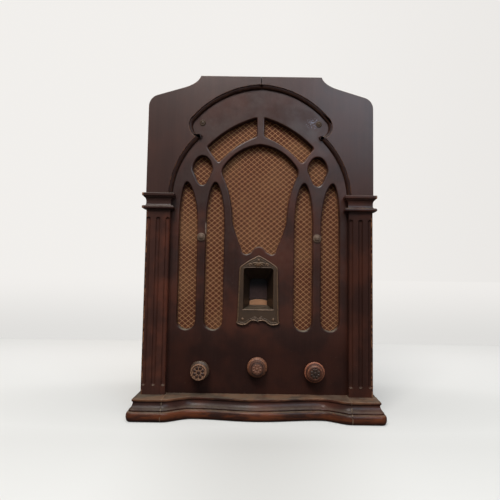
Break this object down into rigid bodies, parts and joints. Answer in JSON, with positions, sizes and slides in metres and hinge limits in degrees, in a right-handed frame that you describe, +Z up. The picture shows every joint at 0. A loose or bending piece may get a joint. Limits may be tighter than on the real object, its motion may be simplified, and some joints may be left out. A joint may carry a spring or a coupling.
{
  "type": "table radio receiver",
  "caption": "Early table radio in an arched wooden cabinet with fretwork windows over grille cloth, fluted pilasters, a dial window and turned knobs.",
  "frame": {"origin": "middle of the base on the surface it stands on, at the centre of its width and depth", "axes": "+Z up, -Y towards the front, +X to the right as seen from the front"},
  "size_m": [0.3174, 0.24, 0.445],
  "materials": {
    "cabinet_wood": "dark varnished veneer, worn semi-gloss",
    "base_wood": "dark varnish worn to red-brown on the edges",
    "inner_wood": "unfinished softwood, aged",
    "knob_wood": "turned and stained, worn varnish",
    "bronze": "oxidised bronze, satin",
    "brass": "dull brass",
    "grille_cloth": "woven silk with a diamond lattice",
    "celluloid": "aged celluloid",
    "steel": "dull cadmium plate",
    "aluminium": "spun, dull",
    "copper": "dull copper lacquer",
    "black_enamel": "baked black enamel",
    "lamination": "stacked iron sheet, slightly rusty",
    "bakelite": "brown-black moulding",
    "glass": "clear glass",
    "electrode": "carbonised nickel",
    "cone_paper": "pulp paper",
    "rubber": "black rubber",
    "lead_braid": "cotton braid"
  },
  "bodies": {
    "cabinet": {"front_board": "cabinet_wood", "spandrel_left": "cabinet_wood", "spandrel_right": "cabinet_wood", "pilaster_left": "cabinet_wood", "pilaster_right": "cabinet_wood", "capital_left": "cabinet_wood", "capital_right": "cabinet_wood", "base_front": "base_wood", "base_side_left": "base_wood", "base_side_right": "base_wood", "side_left": "cabinet_wood", "side_right": "cabinet_wood", "top_wrap": "cabinet_wood", "bottom_board": "inner_wood", "glue_blocks": "inner_wood", "mullion_bosses": "bronze", "panel_screws": "bronze", "grille_cloth": "grille_cloth", "baffle_board": "inner_wood", "escutcheon": "bronze", "escutcheon_pins": "bronze", "dial_mask": "black_enamel", "lamp_holder": "brass", "pilot_lamp": "glass", "volume_control": "bakelite", "tone_control": "bakelite", "tuning_bush": "brass", "condenser_frame": "steel", "condenser_stator": "aluminium", "chassis": "steel", "chassis_bolts": "steel", "valve_sockets": "bakelite", "valve_bases": "bakelite", "valve_bulbs": "glass", "valve_anodes": "electrode", "valve_shields": "aluminium", "grid_leads": "lead_braid", "transformer_core": "lamination", "transformer_covers": "black_enamel", "smoothing_cans": "copper", "if_cans": "aluminium", "mains_grommet": "rubber", "aerial_earth_posts": "brass", "speaker_frame": "black_enamel", "speaker_cone": "cone_paper", "speaker_magnet": "black_enamel", "output_transformer": "lamination", "speaker_bolts": "steel", "speaker_lead": "lead_braid"},
    "volume": {"knob_volume": "knob_wood", "volume_shaft": "steel"},
    "tuning_drive": {"knob_tuning": "knob_wood", "tuning_shaft": "steel", "drive_roller": "brass"},
    "tone": {"knob_tone": "knob_wood", "tone_shaft": "steel"},
    "tuning_rotor": {"condenser_rotor": "aluminium", "dial_hub": "brass", "dial_scale": "celluloid", "drive_disc": "steel"}
  },
  "joints": [
    {"name": "volume_turn", "type": "hinge", "parent": "cabinet", "child": "volume", "pos_m": [-0.0734, -0.085, 0.056], "axis": [0, 1, 0], "range_deg": [-150, 150]},
    {"name": "tone_turn", "type": "hinge", "parent": "cabinet", "child": "tone", "pos_m": [0.0734, -0.085, 0.056], "axis": [0, 1, 0], "range_deg": [-135, 135]},
    {"name": "tuning_spin", "type": "hinge", "parent": "cabinet", "child": "tuning_rotor", "pos_m": [0, -0.03, 0.112], "axis": [0, 1, 0], "range_deg": [-90, 90]},
    {"name": "tuning_turn", "type": "hinge", "parent": "cabinet", "child": "tuning_drive", "pos_m": [0, -0.085, 0.0605], "axis": [0, 1, 0], "range_deg": [-530, 530]}
  ],
  "couplings": [
    {"joint": "tuning_turn", "follows": "tuning_spin", "ratio": -5.8267}
  ]
}
